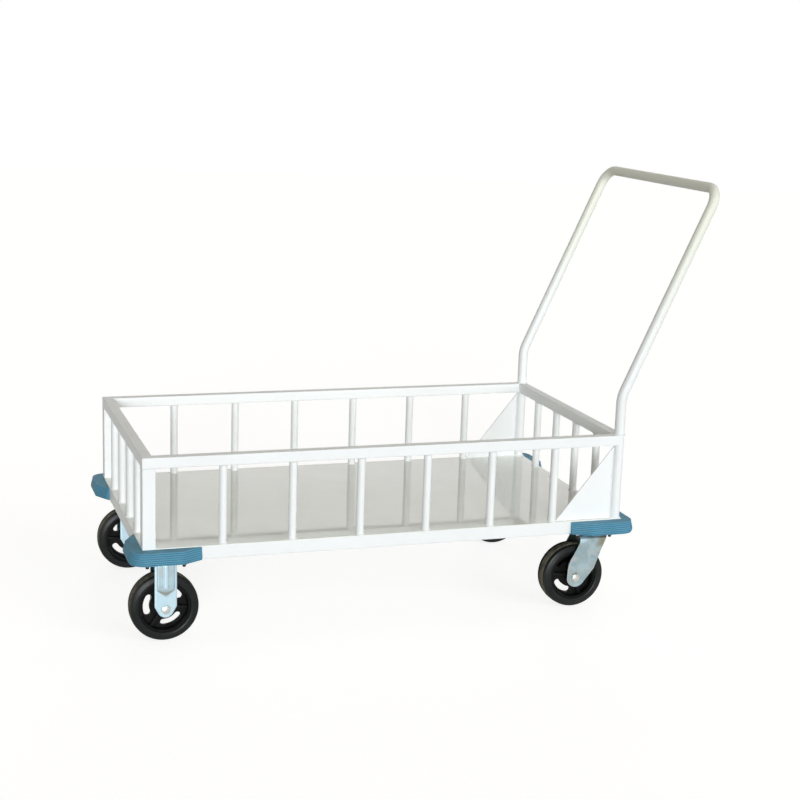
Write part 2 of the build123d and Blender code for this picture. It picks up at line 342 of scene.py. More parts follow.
def on_circle(centre, radius, angle):
    """The point of a circle at an angle in degrees."""
    turn = math.radians(angle)
    return centre + Vector((math.cos(turn), math.sin(turn))) * radius


def arc_points(centre, radius, start, sweep, steps):
    """Points along an arc, angles in degrees."""
    return [on_circle(centre, radius, start + sweep * number / steps) for number in range(steps + 1)]


# -------- finishes

def node(tree, kind, inputs=None, **settings):
    """A shader node with its settings made and its inputs set or linked."""
    made = tree.nodes.new(kind)
    for name, value in settings.items():
        setattr(made, name, value)
    for key, value in (inputs or {}).items():
        if isinstance(value, bpy.types.NodeSocket):
            tree.links.new(value, made.inputs[key])
        else:
            made.inputs[key].default_value = value
    return made


def own_place(tree):
    """Where a point lies on its piece, in metres."""
    return node(tree, "ShaderNodeTexCoord").outputs["Object"]


def mark(tree, name):
    """A mask that the piece's own mesh carries."""
    return node(tree, "ShaderNodeAttribute", attribute_name=name).outputs["Fac"]


def noise(tree, place, scale, detail=2.0, roughness=0.5, distortion=0.0):
    """Clouds from 0 to 1, of about scale for each metre."""
    return node(tree, "ShaderNodeTexNoise", {
        "Vector": place, "Scale": scale, "Detail": detail, "Roughness": roughness,
        "Distortion": distortion,
    }).outputs["Fac"]


def mask_from(tree, value, empty, full, smooth=False):
    """A mask that is 0 where a value is at empty and 1 where it is at full."""
    return node(tree, "ShaderNodeMapRange", {
        "Value": value, "From Min": empty, "From Max": full,
    }, interpolation_type="SMOOTHSTEP" if smooth else "LINEAR").outputs["Result"]


def between(tree, mask, low, high):
    """A number that goes from low to high with a mask."""
    return node(tree, "ShaderNodeMapRange", {
        "Value": mask, "To Min": low, "To Max": high,
    }).outputs["Result"]


def combined(tree, operation, first, *others):
    """Numbers added, multiplied or compared one after another."""
    for other in others:
        first = node(tree, "ShaderNodeMath", {0: first, 1: other}, operation=operation).outputs[0]
    return first


def layered(tree, colour, *coats):
    """A colour with coats of (mask, colour) over it."""
    colour = (*colour, 1.0)
    for mask, over in coats:
        colour = node(tree, "ShaderNodeMix", {
            "Factor": mask, MIX_UNDER: colour, MIX_OVER: (*over, 1.0),
        }, data_type="RGBA", clamp_factor=True).outputs[MIX_RESULT]
    return colour


def new_group(name, output, **inputs):
    """A node group with number inputs and one number output."""
    group = bpy.data.node_groups.new(name, "ShaderNodeTree")
    for socket, value in inputs.items():
        made = group.interface.new_socket(socket, in_out="INPUT", socket_type="NodeSocketFloat")
        made.default_value = value
    group.interface.new_socket(output, in_out="OUTPUT", socket_type="NodeSocketFloat")
    return group, group.nodes.new("NodeGroupInput").outputs


def put_out(group, value):
    """Ends a node group with what it puts out."""
    group.links.new(value, group.nodes.new("NodeGroupOutput").inputs[0])
    return group


def grain_group():
    """Even fine grain, from 0 to 1."""
    group, given = new_group("grain", "height", scale=500.0, detail=2.0)
    return put_out(group, noise(group, own_place(group), given["scale"], given["detail"]))


def patches_group():
    """Soft patches: a mask that is 0 at one level of a slow noise and 1 at another."""
    group, given = new_group("patches", "mask", scale=5.0, empty=0.4, full=0.7)
    clouds = noise(group, own_place(group), given["scale"], 5.0, 0.6, distortion=0.4)
    return put_out(group, mask_from(group, clouds, given["empty"], given["full"], smooth=True))


def scratches_group():
    """Thin scratches, nearly along X, that come and go in patches."""
    group, given = new_group("scratches", "mask", scale=60.0, amount=0.5)
    place = own_place(group)
    stretched = node(group, "ShaderNodeMapping", {
        "Vector": place, "Rotation": (0.0, 0.0, 0.35), "Scale": (0.04, 1.0, 1.0),
    }).outputs["Vector"]
    thin = mask_from(group, noise(group, stretched, given["scale"], 3.0), 0.62, 0.70)
    there = mask_from(group, noise(group, place, 7.0), 0.50, 0.66)
    return put_out(group, combined(group, "MULTIPLY", thin, there, given["amount"]))


def dust_group():
    """Dust that has settled in patches on faces that look up."""
    group, given = new_group("settled dust", "mask", amount=0.3)
    facing = node(group, "ShaderNodeNewGeometry").outputs["Normal"]
    upright = node(group, "ShaderNodeSeparateXYZ", {0: facing}).outputs["Z"]
    upwards = mask_from(group, upright, 0.5, 0.95)
    settled = mask_from(group, noise(group, own_place(group), 9.0, 6.0, 0.7), 0.35, 0.75)
    return put_out(group, combined(group, "MULTIPLY", upwards, settled, given["amount"]))


def height_group():
    """A mask that fills between two heights above the floor, in metres."""
    group, given = new_group("height band", "mask", empty=0.0, full=1.0)
    height = node(group, "ShaderNodeSeparateXYZ", {0: own_place(group)}).outputs["Z"]
    return put_out(group, mask_from(group, height, given["empty"], given["full"], smooth=True))


GRAIN = grain_group()
PATCHES = patches_group()
SCRATCHES = scratches_group()
DUST = dust_group()
HEIGHT = height_group()


def effect(tree, group, **inputs):
    """Places a shared effect in a material and returns what it puts out."""
    return node(tree, "ShaderNodeGroup", inputs, node_tree=group).outputs[0]


def finish(name, surface, bumps, metallic=0.0, specular=0.5):
    """A new material. surface(tree) gives its colour and roughness, and each of bumps is
    (scale, detail, depth) of a layer of grain."""
    material = bpy.data.materials.new(name)
    material.use_nodes = True
    tree = material.node_tree
    shader = tree.nodes["Principled BSDF"]
    shader.inputs["Metallic"].default_value = metallic
    shader.inputs["Specular IOR Level"].default_value = specular
    colour, roughness = surface(tree)
    tree.links.new(colour, shader.inputs["Base Color"])
    tree.links.new(roughness, shader.inputs["Roughness"])
    below = {}
    for scale, detail, depth in bumps:
        height = effect(tree, GRAIN, scale=scale, detail=detail)
        bump = node(tree, "ShaderNodeBump", {"Height": height, "Distance": depth, **below})
        below = {"Normal": bump.outputs["Normal"]}
    tree.links.new(below["Normal"], shader.inputs["Normal"])
    return material


def powder_coat(tree):
    """White powder coat with orange peel, lightly soiled, with painted shade that makes it darker and
    warmer from 0.6 m up.
    """
    uneven = effect(tree, PATCHES, scale=6.0, empty=0.35, full=0.75)
    dirt_and_shade = effect(tree, PATCHES, scale=22.0, empty=0.60, full=0.80)
    colour = layered(
        tree, (0.850, 0.868, 0.872),
        (uneven, (0.822, 0.838, 0.836)),
        (between(tree, dirt_and_shade, 0.0, 0.10), (0.56, 0.54, 0.48)),
        # Painted shade: darker and warmer between 0.6 m and 0.98 m up.
        (effect(tree, HEIGHT, empty=0.60, full=0.98), (0.80, 0.81, 0.715)),
        (effect(tree, DUST, amount=0.25), (0.66, 0.64, 0.58)),
    )
    return colour, between(tree, dirt_and_shade, 0.44, 0.56)


def deck_coat(tree):
    """The deck's glossier white coat: a faint wave in the sheet, scratches, dull cut edges."""
    shader = tree.nodes["Principled BSDF"]
    shader.inputs["Coat Roughness"].default_value = 0.03
    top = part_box("deck_sheet")[1].z
    cut_edge = effect(tree, HEIGHT, empty=top - 0.2 * MM, full=top - 0.8 * MM)
    tree.links.new(between(tree, cut_edge, 0.5, 0.0), shader.inputs["Coat Weight"])
    uneven = effect(tree, PATCHES, scale=3.0, empty=0.35, full=0.75)
    scratched = effect(tree, SCRATCHES, scale=130.0, amount=0.2)
    dust = effect(tree, DUST, amount=0.15)
    colour = layered(
        tree, (0.845, 0.862, 0.815),
        (uneven, (0.812, 0.83, 0.777)),
        (dust, (0.62, 0.595, 0.53)),
        (scratched, (0.60, 0.59, 0.56)),
    )
    used = between(tree, combined(tree, "ADD", scratched, dust), 0.04, 0.28)
    return colour, between(tree, cut_edge, used, 0.6)


def bumper_rubber(tree):
    """Blue moulded rubber, greyed where it rubs against things, with painted shade in its grooves."""
    uneven = effect(tree, PATCHES, scale=14.0, empty=0.35, full=0.7)
    rubbed = effect(tree, PATCHES, scale=45.0, empty=0.56, full=0.72)
    colour = layered(
        tree, (0.104, 0.306, 0.445),
        (uneven, (0.085, 0.265, 0.387)),
        (between(tree, rubbed, 0.0, 0.3), (0.20, 0.38, 0.47)),
        (effect(tree, DUST, amount=0.35), (0.10, 0.20, 0.22)),
        # Painted shade: the grooves are darkened.
        (mark(tree, "groove"), (0.040, 0.150, 0.225)),
    )
    return colour, between(tree, rubbed, 0.62, 0.78)


def zinc_plating(tree):
    """Zinc plating with bluish and straw clouds, a painted highlight on flat sheet, painted shade
    inside the forks beside the tyre, and a darker olive tone where marked.
    """
    clouds = effect(tree, PATCHES, scale=34.0, empty=0.38, full=0.62)
    straw = effect(tree, PATCHES, scale=48.0, empty=0.48, full=0.62)
    colour = layered(
        tree, (0.37, 0.475, 0.50),
        (clouds, (0.27, 0.36, 0.385)),
        (between(tree, straw, 0.0, 0.55), (0.45, 0.42, 0.36)),
        # Painted highlight.
        (mark(tree, "painted_highlight"), (0.50, 0.66, 0.74)),
        # Painted shade on the rigid brackets' lower slope; a darker olive patch on the swivel forks.
        (mark(tree, "drawn"), (0.25, 0.235, 0.17)),
        # Painted shade inside the forks, beside the tyre.
        (mark(tree, "dirt_and_shade"), (0.060, 0.075, 0.070)),
    )
    mottle = effect(tree, GRAIN, scale=240.0, detail=3.0)
    return colour, between(tree, mottle, 0.26, 0.46)


def fastener_zinc(tree):
    """Duller and greyer plating on the axle bolts."""
    clouds = effect(tree, PATCHES, scale=90.0, empty=0.4, full=0.7)
    colour = layered(tree, (0.56, 0.575, 0.55), (clouds, (0.40, 0.40, 0.365)))
    return colour, between(tree, clouds, 0.38, 0.55)


def dark_steel(tree):
    """Oiled black steel of the plate bolts."""
    worn = effect(tree, PATCHES, scale=160.0, empty=0.55, full=0.75)
    colour = layered(tree, (0.030, 0.029, 0.028), (worn, (0.13, 0.125, 0.115)))
    return colour, between(tree, worn, 0.40, 0.58)


def tyre_rubber(tree):
    """Black rubber: greyer and dusty on the tread, smoother on the walls."""
    tread = mark(tree, "tread")
    uneven = effect(tree, PATCHES, scale=30.0, empty=0.35, full=0.7)
    dirty = effect(tree, PATCHES, scale=38.0, empty=0.35, full=0.62)
    road = combined(tree, "MULTIPLY", tread, between(tree, dirty, 0.25, 0.85))
    colour = layered(
        tree, (0.006, 0.007, 0.0075),
        (uneven, (0.010, 0.011, 0.0105)),
        (road, (0.19, 0.175, 0.125)),
    )
    return colour, between(tree, tread, 0.36, 0.85)


def hub_plastic(tree):
    """Black moulded plastic with a fine spark-eroded grain."""
    uneven = effect(tree, PATCHES, scale=40.0, empty=0.4, full=0.7)
    colour = layered(tree, (0.004, 0.004, 0.004), (uneven, (0.008, 0.008, 0.0075)))
    return colour, between(tree, uneven, 0.42, 0.55)


# Layers of grain: (scale, detail, depth)
ORANGE_PEEL = ((420.0, 1.0, 0.07 * MM), (1500.0, 2.0, 0.02 * MM))
SHEET_WAVE = ((5.0, 0.0, 1.0 * MM), (300.0, 1.0, 0.02 * MM))
PAINT = finish("white powder coat", powder_coat, ORANGE_PEEL, specular=0.4)
DECK_COAT = finish("deck coat", deck_coat, SHEET_WAVE)
BUMPER_RUBBER = finish("blue bumper rubber", bumper_rubber, [(900.0, 3.0, 0.1 * MM)], specular=0.3)
ZINC = finish("zinc plating", zinc_plating, [(700.0, 2.0, 0.04 * MM)], metallic=1.0)
FASTENER_ZINC = finish("fastener zinc", fastener_zinc, [(1200.0, 2.0, 0.03 * MM)], metallic=1.0)
DARK_STEEL = finish("dark steel", dark_steel, [(1000.0, 2.0, 0.04 * MM)], metallic=0.8)
TYRE_RUBBER = finish("tyre rubber", tyre_rubber, [(800.0, 3.0, 0.1 * MM)], specular=0.18)
HUB_PLASTIC = finish("hub plastic", hub_plastic, [(1300.0, 2.0, 0.06 * MM)], specular=0.10)


# -------- frame and railing

def finish_cad_nodes():
    """Gives the frame, rails, deck and handle their finishes."""
    finishes = {"frame_paint": PAINT, "deck_paint": DECK_COAT}
    for part in frame["record"]["subparts"]:
        if part["material_slot"] in finishes:
            slots = frame["nodes"][part["node"]].material_slots
            slots[0].material = finishes[part["material_slot"]]


def weld_bead():
    """The profile of a weld in a corner: (out from the tube, up from the plate)."""
    shares = ((-0.2, -0.2), (1, -0.2), (1, 0.05), (0.72, 0.42), (0.42, 0.72), (0.05, 1), (-0.2, 1))
    return [(out * WELD_LEG, up * WELD_LEG) for out, up in shares]


def ring_weld(shape, centre, axis, radius):
    """A rippled weld round a tube where it meets a flat face."""
    profile = [(radius + out, up) for out, up in weld_bead()]
    ring = turned(profile, centre, axis, steps=36)
    for vert in ring.verts:
        away = vert.co - centre
        rise = away.project(axis)
        flat = away - rise
        share = min(max((flat.length - radius) / WELD_LEG, 0), 1)
        swell = RIPPLE * math.sin(math.atan2(flat.y, flat.x) * RING_RIPPLES) * share
        vert.co = centre + rise + flat * (1 + swell * WELD_LEG / radius)
    merge_in(shape, ring)


def run_weld(shape, start, end, side, up):
    """A rippled weld along a straight corner. side and up point along the two faces that it joins."""
    start, side, up = Vector(start), Vector(side), Vector(up)
    run = Vector(end) - start
    length = run.length
    steps = max(2, round(length / WELD_STEP))
    bead = bmesh.new()
    verts, ring = closed_line(bead, [start + side * out + up * rise for out, rise in weld_bead()])
    for _ in range(steps):
        verts, ring = draw_on(bead, verts, ring)
        bmesh.ops.translate(bead, verts=verts, vec=run / steps)
    bmesh.ops.holes_fill(bead, edges=bead.edges[:])
    for vert in bead.verts:
        along = (vert.co - start).dot(run) / length
        line = start + run * along / length
        swell = 1 + RIPPLE * math.sin(along * RUN_RIPPLES)
        taper = min(1.0, 0.35 + along / (2 * WELD_LEG), 0.35 + (length - along) / (2 * WELD_LEG))
        vert.co = line + (vert.co - line) * swell * taper
    bmesh.ops.recalc_face_normals(bead, faces=bead.faces)
    merge_in(shape, bead)


def spindle_centres(low, high, count):
    """The centres and the radius of evenly spaced spindles that fill a node's box."""
    along = 0 if high.x - low.x > high.y - low.y else 1
    radius = (high[1 - along] - low[1 - along]) / 2
    pitch = (high[along] - low[along] - 2 * radius) / (count - 1)
    for number in range(count):
        centre = (low + high) / 2
        centre[along] = low[along] + radius + number * pitch
        yield centre, radius


def dress_spindles():
    """Welds at the feet and heads of the spindles."""
    for place, count in SPINDLES.items():
        low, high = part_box(f"spindles_{place}")
        shape = bmesh.new()
        for centre, radius in spindle_centres(low, high, count):
            ring_weld(shape, Vector((centre.x, centre.y, low.z)), UP, radius)
            ring_weld(shape, Vector((centre.x, centre.y, high.z)), -UP, radius)
        hand_over(f"spindle_welds_{place}", shape, PAINT)


def weld_post(side):
    """Welds of a front post, on the deck and under the top rails."""
    sign = SIDES[side]
    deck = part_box("deck_sheet")[1].z
    rail_low, rail_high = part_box("top_rail_left")
    rail_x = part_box("top_rail_front")[0].x
    low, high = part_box(f"front_post_{side}")
    inner_y, outer_y = (low.y, high.y)[::sign]
    rail_y = outer_y - sign * (rail_high.z - rail_low.z)
    under = rail_low.z
    rearwards, inwards = (-1, 0, 0), (0, -sign, 0)
    shape = bmesh.new()
    run_weld(shape, (low.x, inner_y, deck), (low.x, outer_y, deck), rearwards, UP)
    run_weld(shape, (low.x, inner_y, deck), (high.x, inner_y, deck), inwards, UP)
    run_weld(shape, (low.x, rail_y, under), (low.x, outer_y, under), rearwards, -UP)
    run_weld(shape, (rail_x, inner_y, under), (high.x, inner_y, under), inwards, -UP)
    hand_over(f"post_welds_{side}", shape, PAINT)


def weld_leg(side):
    """Welds round a leg of the handle, on the deck and on the top rail."""
    rear, gusset = middle("top_rail_rear"), middle(f"gusset_{side}")
    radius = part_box(f"gusset_{side}")[0].x - rear.x
    shape = bmesh.new()
    for height in (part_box("deck_sheet")[1].z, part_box("top_rail_left")[1].z):
        ring_weld(shape, Vector((rear.x, gusset.y, height)), UP, radius)
    hand_over(f"leg_welds_{side}", shape, PAINT)


def stitches(low, high, first):
    """Where evenly spaced short welds start and end, the first one a little way in."""
    for number in range(STITCH_COUNT):
        start = low + first + number * (high - low) / STITCH_COUNT
        yield start, start + STITCH


def weld_gusset(side):
    """Short welds on both faces of a gusset, along the deck and up the leg."""
    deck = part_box("deck_sheet")[1].z
    low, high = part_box(f"gusset_{side}")
    shape = bmesh.new()
    for y, out in ((low.y, (0, -1, 0)), (high.y, (0, 1, 0))):
        for start, end in stitches(low.x, high.x, first=6 * MM):
            run_weld(shape, (start, y, deck), (end, y, deck), out, UP)
        for start, end in stitches(low.z, high.z, first=8 * MM):
            run_weld(shape, (low.x, y, start), (low.x, y, end), out, (1, 0, 0))
    hand_over(f"gusset_welds_{side}", shape, PAINT)


# -------- bumpers

def bumper_levels(height):
    """The bumper's side from bottom to top: (level, depth below the face, share of a groove)."""
    def set_back(level):
        slope = ease(level / height * 1.3 - 0.3)
        return BUMPER_SLOPE * slope - BUMPER_BELLY * ease(level / (0.2 * height))

    yield 0.0, BUMPER_EDGE, 0.0
    yield BUMPER_EDGE * 0.3, BUMPER_EDGE * 0.3, 0.0
    first = (height - (GROOVE_COUNT - 1) * GROOVE_PITCH) / 2
    for number in range(GROOVE_COUNT):
        for offset, share in ((-0.5, 0.0), (-0.2, 1.0), (0.2, 1.0), (0.5, 0.0)):
            level = first + number * GROOVE_PITCH + offset * GROOVE_WIDTH
            yield level, set_back(level) + share * GROOVE_DEPTH, share
    yield height - BUMPER_EDGE, set_back(height - BUMPER_EDGE), 0.0
    yield height - BUMPER_EDGE * 0.3, set_back(height) + BUMPER_EDGE * 0.3, 0.0
    yield height, set_back(height) + BUMPER_EDGE, 0.0


def inward_moves(points, fixed):
    """For each corner of an anticlockwise outline, the move that sinks the faces beside it by one
    unit. Faces whose numbers are in fixed stay where they are."""
    runs = [after - point for point, after in zip(points, points[1:] + points[:1])]
    normals = [Vector((run.y, -run.x)).normalized() for run in runs]
    sinks = [0.0 if number in fixed else -1.0 for number in range(len(points))]
    moves = []
    for number, (after, sink) in enumerate(zip(normals, sinks)):
        faces = Matrix((normals[number - 1], after))
        if abs(faces.determinant()) < 1e-3:
            moves.append(after * sink)
        else:
            moves.append(faces.inverted() @ Vector((sinks[number - 1], sink)))
    return moves


def bumper_outline(reach):
    """The bumper from above, anticlockwise from the frame's corner, which is at 0, 0."""
    round_centre = Vector((reach - BUMPER_ROUND, reach - BUMPER_ROUND))
    return [
        Vector((0, 0)), Vector((0, -BUMPER_END_LEG)), Vector((BUMPER_TIP, -BUMPER_END_LEG)),
        Vector((reach, -BUMPER_END_FLAT)),
        *arc_points(round_centre, BUMPER_ROUND, 0, 90, 10),
        Vector((-BUMPER_SIDE_FLAT, reach)), Vector((-BUMPER_SIDE_LEG, BUMPER_TIP)),
        Vector((-BUMPER_SIDE_LEG, 0)),
    ]


def make_bumper(end, side):
    """A ribbed rubber bumper round one corner of the base frame."""
    forward, sign = ENDS[end], SIDES[side]
    low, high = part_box(f"bumper_{end}_{side}")
    deck_low, deck_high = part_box("deck_sheet")
    corner_x = (deck_high if forward > 0 else deck_low).x
    corner_y = (deck_high if sign > 0 else deck_low).y
    reach = abs((high if forward > 0 else low).x - corner_x)
    outline = bumper_outline(reach)
    count = len(outline)
    moves = inward_moves(outline, fixed=(0, 1, count - 2, count - 1))

    def ring_at(level, depth):
        places = [point + move * depth for point, move in zip(outline, moves)]
        return [Vector((corner_x + forward * x, corner_y + sign * y, low.z + level))
                for x, y in places]

    shape = bmesh.new()
    # The groove mark carries painted shade that darkens the bumper's grooves.
    groove = shape.verts.layers.float.new("groove")
    (level, depth, _), *upper_levels = bumper_levels(high.z - low.z)
    verts, ring = closed_line(shape, ring_at(level, depth))
    bmesh.ops.edgeloop_fill(shape, edges=ring)
    for level, depth, share in upper_levels:
        verts, ring = draw_on(shape, verts, ring)
        for vert, place in zip(verts, ring_at(level, depth)):
            vert.co = place
            vert[groove] = share
    bmesh.ops.edgeloop_fill(shape, edges=ring)
    hand_over(f"corner_bumper_{end}_{side}", shape, BUMPER_RUBBER,
              [f"bumper_{end}_{side}"], crease=20)


# -------- casters

def corners_about(centre, off_x, off_y):
    """The four corners of a level rectangle."""
    signs = ((-1, -1), (1, -1), (1, 1), (-1, 1))
    return [centre + Vector((x * off_x, y * off_y, 0)) for x, y in signs]


def caster_plate(centre):
    """The mounting plate under a corner pad. centre is in the middle of its underside."""
    corners = corners_about(centre, PLATE[0] / 2, PLATE[1] / 2)
    return prism(corners, UP * PLATE[2], edge=0.7 * MM, round_size=PLATE_ROUND)


def plate_fasteners(name, centre):
    """Four studs with washers and nuts that hold a caster's plate. centre is on its underside."""
    under_washer = washer(STUD_WASHER_HOLE, STUD_WASHER_RADIUS, STUD_WASHER)
    tip = STUD_WASHER + NUT_HEIGHT
    stud = rod(STUD_RADIUS, tip - ROD_ROOT, tip + STUD_END, STUD_CHAMFER)
    shape = bmesh.new()
    for foot in corners_about(centre, *BOLT_SPREAD):
        merge_in(shape, turned(under_washer, foot, -UP, steps=28))
        merge_in(shape, hexagon(foot - UP * STUD_WASHER, -UP, NUT_FLATS, NUT_HEIGHT, edge=0.9 * MM))
        merge_in(shape, turned(stud, foot, -UP, steps=24))
    hand_over(name, shape, DARK_STEEL)


def tangent_point(corner, centre, radius, side):
    """Where the straight edge from a corner runs onto a circle, on the circle's given side."""
    away = corner - centre
    turn = math.acos(min(1.0, radius / away.length))
    angle = math.atan2(away.y, away.x) + side * turn
    return centre + Vector((math.cos(angle), math.sin(angle))) * radius


def strap_edge(level, corners, centre, radius, side):
    """Where the edge of a strap that ends in a rounded foot lies at a height. The corners go down
    the edge, and side is 1 at +X."""
    if level >= corners[0].y:
        return corners[0].x
    tangent = tangent_point(corners[-1], centre, radius, -side)
    for upper, lower in zip(corners, corners[1:] + [tangent]):
        if level >= lower.y:
            return upper.x + (upper.y - level) / (upper.y - lower.y) * (lower.x - upper.x)
    return centre.x + side * math.sqrt(max(radius ** 2 - (level - centre.y) ** 2, 0.0))


def strap_edges(rear, front, centre, radius):
    """A function that gives where both edges of a strap lie at a height."""
    pair = ((rear, -1), (front, 1))
    return lambda z: [strap_edge(z, corners, centre, radius, side) for corners, side in pair]


def fork_path(foot, top):
    """The outer line of a bent fork in the YZ plane: up one side, over the crown and down again.
    Each step is (y, z, outward y, outward z)."""
    start, shoulder = foot + FOOT_RISE, top - BEND
    quarters = [math.radians(90 * number / FOOT_ROWS) for number in range(FOOT_ROWS)]
    levels = [foot + (1 - math.cos(angle)) * FOOT_RISE for angle in quarters]
    rows = round((shoulder - start) / CHEEK_ROW)
    levels += [start + (shoulder - start) * number / rows for number in range(rows + 1)]
    side = [(FORK_HALF, level, 1.0, 0.0) for level in levels]
    for number in range(1, BEND_ROWS + 1):
        angle = math.radians(90 * number / BEND_ROWS)
        out_y, out_z = math.cos(angle), math.sin(angle)
        side.append((FORK_HALF - BEND + BEND * out_y, shoulder + BEND * out_z, out_y, out_z))
    crown = [
        ((FORK_HALF - BEND) * (1 - 2 * number / CROWN_ROWS), top, 0.0, 1.0)
        for number in range(1, CROWN_ROWS)
    ]
    other = [(-y, z, -out_y, out_z) for y, z, out_y, out_z in reversed(side)]
    return side + crown + other


def bent_fork(centre_y, foot, top, edges_at, marks, columns, press=None):
    """A fork bent from one sheet. edges_at(z) gives its two edges, each function in marks how much
    of a tone is at (x, z): painted highlight, painted shade or a darker olive patch. press(x, z)
    gives how far the sheet stands proud, and the faces inside the fork get painted shade."""
    path = fork_path(foot, top)
    last = len(path) - 1

    def place(across, along):
        y, z, out_y, out_z = path[round(along * last)]
        rear, front = edges_at(z)
        x = rear + across * (front - rear)
        proud = press(x, z) * out_y ** 2 if press and out_y else 0.0
        return Vector((x, centre_y + y + out_y * proud, z + out_z * proud))

    shape = sheet_between(columns, last, place)
    bmesh.ops.remove_doubles(shape, verts=shape.verts, dist=2e-5)
    for name, mark_at in marks.items():
        layer = shape.verts.layers.float.new(name)
        for vert in shape.verts:
            vert[layer] = mark_at(vert.co.x, vert.co.z)
    bmesh.ops.recalc_face_normals(shape, faces=shape.faces)
    crown = max(shape.faces, key=lambda face: face.calc_center_median().z)
    if crown.normal.z < 0:
        bmesh.ops.reverse_faces(shape, faces=shape.faces)
    bmesh.ops.solidify(shape, geom=shape.faces[:], thickness=SHEET)
    soften(shape, size=0.5 * MM, crease=60)
    # Painted shade: the faces inside the fork, beside the tyre, are darkened.
    dirt_and_shade = shape.verts.layers.float.new("dirt_and_shade")
    for vert in shape.verts:
        inside = abs(vert.co.y - centre_y) < FORK_GAP / 2 + CLEARANCE
        vert[dirt_and_shade] = 1.0 if inside and vert.co.z < top - SHEET / 2 else 0.0
    return shape


def axle_bolt(name, body, centre, stands_for):
    """A bolt through a fork: head and nut on washers, with the bolt's ends past them."""
    seat_washer = washer(AXLE_RADIUS, WASHER_RADIUS, WASHER)
    tip = WASHER + HEAD
    end = rod(AXLE_END_RADIUS, tip - ROD_ROOT, tip, AXLE_END_CHAMFER)
    shape = bmesh.new()
    shank = rod(AXLE_RADIUS, -FORK_HALF - HEAD, FORK_HALF + HEAD)
    merge_in(shape, turned(shank, centre, ACROSS, steps=40))
    outwards = ACROSS if centre.y > 0 else -ACROSS
    for out in (outwards, -outwards):
        seat = centre + out * FORK_HALF
        merge_in(shape, turned(seat_washer, seat, out, steps=48))
        nut = hexagon(seat + out * WASHER, out, AXLE_FLATS, HEAD - AXLE_END, edge=1.6 * MM)
        merge_in(shape, nut)
        merge_in(shape, turned(end, seat, out, steps=32))
    hand_over(name, shape, FASTENER_ZINC, stands_for, body)


def make_fixed_caster(side):
    """The rigid bracket at one front corner, pressed from sheet with a panel and a bead."""
    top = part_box(f"fixed_bracket_{side}")[1].z
    axle = middle(f"tyre_front_{side}")
    underside = Vector((axle.x, axle.y, top - PLATE[2]))
    foot = axle.z - FOOT_DROP - FOOT_RADIUS
    centre = Vector((axle.x, axle.z - FOOT_DROP))
    rear, front = (Vector((axle.x + way * CHEEK_HALF, axle.z + FOOT_SHOULDER)) for way in (-1, 1))
    edges_at = strap_edges([rear], [front], centre, FOOT_RADIUS)
    panel_half = CHEEK_HALF - PANEL_MARGIN
    panel_bottom = axle.z + PANEL_BOTTOM

    def panel_share(x, z):
        """How far the pressing has come up, across its side wall and up its lower slope."""
        off = abs(x - axle.x)
        share = min(off / panel_half, 1.0)
        bottom = axle.z + PANEL_TIP + (PANEL_BOTTOM - PANEL_TIP) * share ** 1.2
        up_slope = (z - bottom) / max(panel_bottom - bottom, PANEL_SLOPE)
        return ease((panel_half - off) / PANEL_WALL), ease(up_slope)

    def bead_share(x, z):
        wall = ease((BEAD_HALF - abs(x - axle.x)) / BEAD_WALL)
        return wall * ease((z - panel_bottom) / BEAD_START)

    def press(x, z):
        across, up_slope = panel_share(x, z)
        inside = edges_at(z)[1] - axle.x - abs(x - axle.x)
        return (PANEL_DEPTH * across * up_slope + BEAD_DEPTH * bead_share(x, z)
                - EDGE_ROLL * (1 - ease(inside / EDGE_ROLL_WIDTH)))

    def painted_highlight(x, z):
        """Painted highlight outside the panel and on the bead, less of it on the panel."""
        across, up_slope = panel_share(x, z)
        return 1.0 - 0.65 * across * up_slope + 0.9 * bead_share(x, z)

    def drawn(x, z):
        """Painted shade on the panel's lower slope, which faces down."""
        across, up_slope = panel_share(x, z)
        return 3.2 * across * up_slope * (1.0 - up_slope)

    shape = bent_fork(axle.y, foot, underside.z, edges_at, {"painted_highlight": painted_highlight, "drawn": drawn},
                      columns=44, press=press)
    merge_in(shape, caster_plate(underside))
    hand_over(f"rigid_bracket_{side}", shape, ZINC, [f"fixed_bracket_{side}"])
    plate_fasteners(f"plate_bolts_front_{side}", underside)
    axle_bolt(f"axle_bolt_front_{side}", "chassis", axle, [f"axle_front_{side}"])


def race_profile(steps):
    """Turns steps in mm from the race's radius into a profile."""
    return [(RACE_RADIUS - inwards * MM, along * MM) for inwards, along in steps]


def swivel_top(side, underside):
    """The fixed half of a swivel caster: plate, race, kingpin and its nut, and the plate's bolts."""
    shape = caster_plate(underside)
    depth = RACE_STEPS[-1][1] * MM
    race = [(KINGPIN_RADIUS, 0.0), *race_profile(RACE_STEPS), (KINGPIN_RADIUS, depth)]
    merge_in(shape, turned(race, underside, -UP, steps=72))
    nut_seat = RACE_HEIGHT + SHEET + NUT_GAP
    pin = rod(KINGPIN_RADIUS - CLEARANCE, 0.0, nut_seat)
    merge_in(shape, turned(pin, underside, -UP, steps=40))
    nut_foot = underside - UP * nut_seat
    merge_in(shape, hexagon(nut_foot, -UP, AXLE_FLATS, KINGPIN_NUT, edge=1.5 * MM))
    hand_over(f"swivel_top_{side}", shape, ZINC, [f"swivel_plate_{side}"])
    plate_fasteners(f"plate_bolts_rear_{side}", underside)


